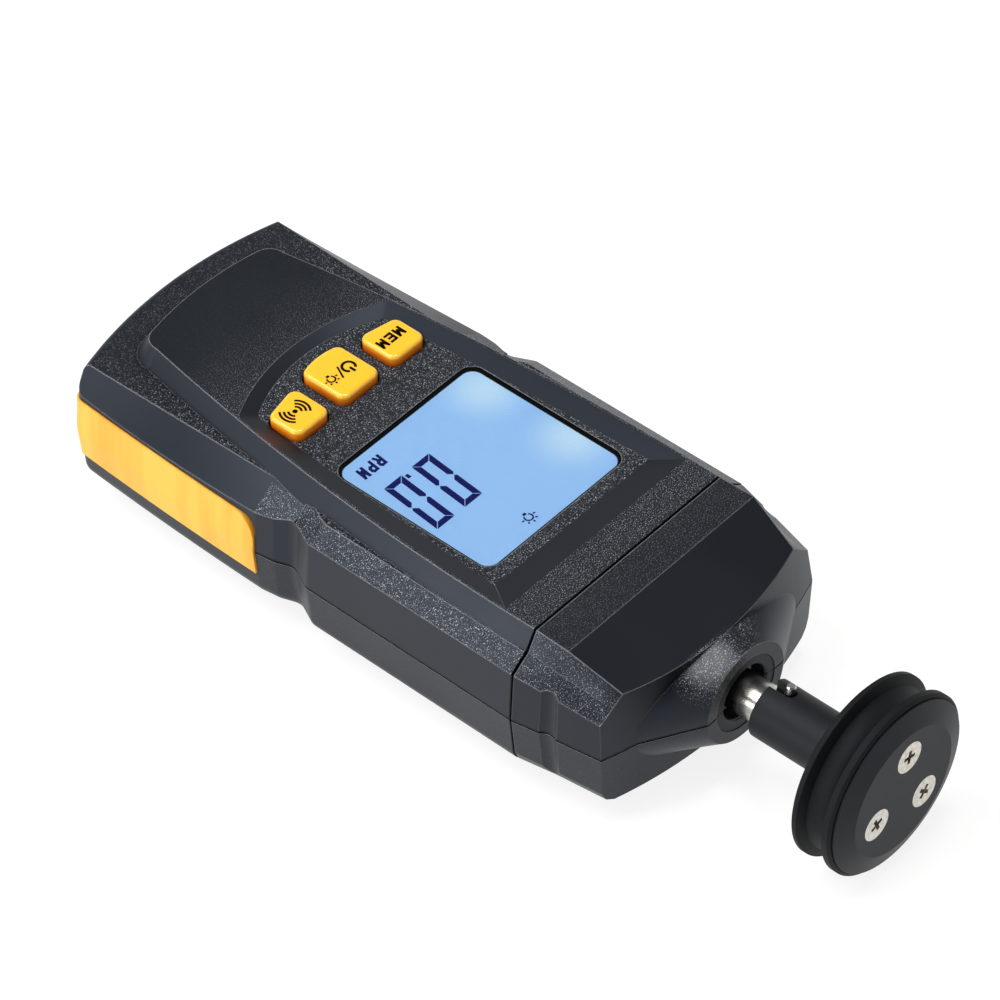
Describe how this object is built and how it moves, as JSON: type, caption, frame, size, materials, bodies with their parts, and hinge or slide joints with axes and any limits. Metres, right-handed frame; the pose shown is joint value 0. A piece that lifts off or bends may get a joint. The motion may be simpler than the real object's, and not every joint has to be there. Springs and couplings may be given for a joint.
{
  "type": "digital contact tachometer",
  "caption": "Hand-held digital tachometer with a recessed display, round keys, side grips and a measuring wheel on a slotted adapter.",
  "frame": {"origin": "middle of the object's outline, at the height of the wheel's lowest point", "axes": "+Y along the spindle towards the wheel, +X to the reader's right, +Z out of the display"},
  "size_m": [0.056, 0.1556, 0.0319],
  "materials": {
    "black_abs": "fine spark texture",
    "yellow_elastomer": "smooth satin",
    "amber_silicone": "glossy",
    "zinc_screw": "zinc plated",
    "cell_jacket": "gloss sleeve",
    "contact_metal": "nickel plated",
    "clear_acrylic": "polished",
    "lcd": "back lit",
    "light_guide": "diffusing",
    "contact_rubber": "matt",
    "black_nylon": "satin",
    "board": "solder mask",
    "ground_steel": "ground",
    "die_cast": "as cast",
    "tyre_rubber": "matt",
    "slate_plastic": "satin"
  },
  "bodies": {
    "case": {"upper_shell": "black_abs", "lower_shell": "black_abs", "nose_upper": "black_abs", "nose_lower": "black_abs", "grip_left": "yellow_elastomer", "grip_right": "yellow_elastomer", "case_screws": "zinc_screw", "battery_1": "cell_jacket", "battery_2": "cell_jacket", "battery_3": "cell_jacket", "contact_springs": "contact_metal", "contact_plates": "contact_metal", "display_window": "clear_acrylic", "lcd_glass": "lcd", "backlight": "light_guide", "rubber_connectors": "contact_rubber", "lcd_frame": "black_nylon", "main_board": "board", "tact_switches": "black_nylon", "buzzer": "black_nylon", "processor_chip": "black_nylon", "slot_sensor": "black_nylon", "front_bearing": "ground_steel", "rear_bearing": "ground_steel", "bearing_bracket": "die_cast", "spindle_bezel": "black_nylon"},
    "spindle": {"spindle_shaft": "ground_steel", "cross_pin": "ground_steel", "retaining_clip": "ground_steel", "encoder_disc": "ground_steel"},
    "wheel_adapter": {"adapter_sleeve": "black_nylon", "wheel_tyre": "tyre_rubber", "wheel_cap": "slate_plastic", "wheel_screws": "zinc_screw"},
    "battery_door": {"battery_cover": "black_abs"},
    "sound_key": {"button_right": "amber_silicone"},
    "power_key": {"button_middle": "amber_silicone"},
    "memory_key": {"button_left": "amber_silicone"}
  },
  "joints": [
    {"name": "spindle_spin", "type": "hinge", "parent": "case", "child": "spindle", "pos_m": [0, 0.0465, 0.01592], "axis": [0, 1, 0], "continuous": true},
    {"name": "adapter_pull", "type": "slide", "parent": "spindle", "child": "wheel_adapter", "axis": [0, 1, 0], "range_m": [0, 0.02]},
    {"name": "battery_door_slide", "type": "slide", "parent": "case", "child": "battery_door", "axis": [0, -1, 0], "range_m": [0, 0.056]},
    {"name": "sound_key_press", "type": "slide", "parent": "case", "child": "sound_key", "axis": [0, 0, -1], "range_m": [0, 0.0007], "stiffness_N_per_m": 800, "springref_m": -0.0005},
    {"name": "power_key_press", "type": "slide", "parent": "case", "child": "power_key", "axis": [0, 0, -1], "range_m": [0, 0.0007], "stiffness_N_per_m": 800, "springref_m": -0.0005},
    {"name": "memory_key_press", "type": "slide", "parent": "case", "child": "memory_key", "axis": [0, 0, -1], "range_m": [0, 0.0007], "stiffness_N_per_m": 800, "springref_m": -0.0005}
  ]
}
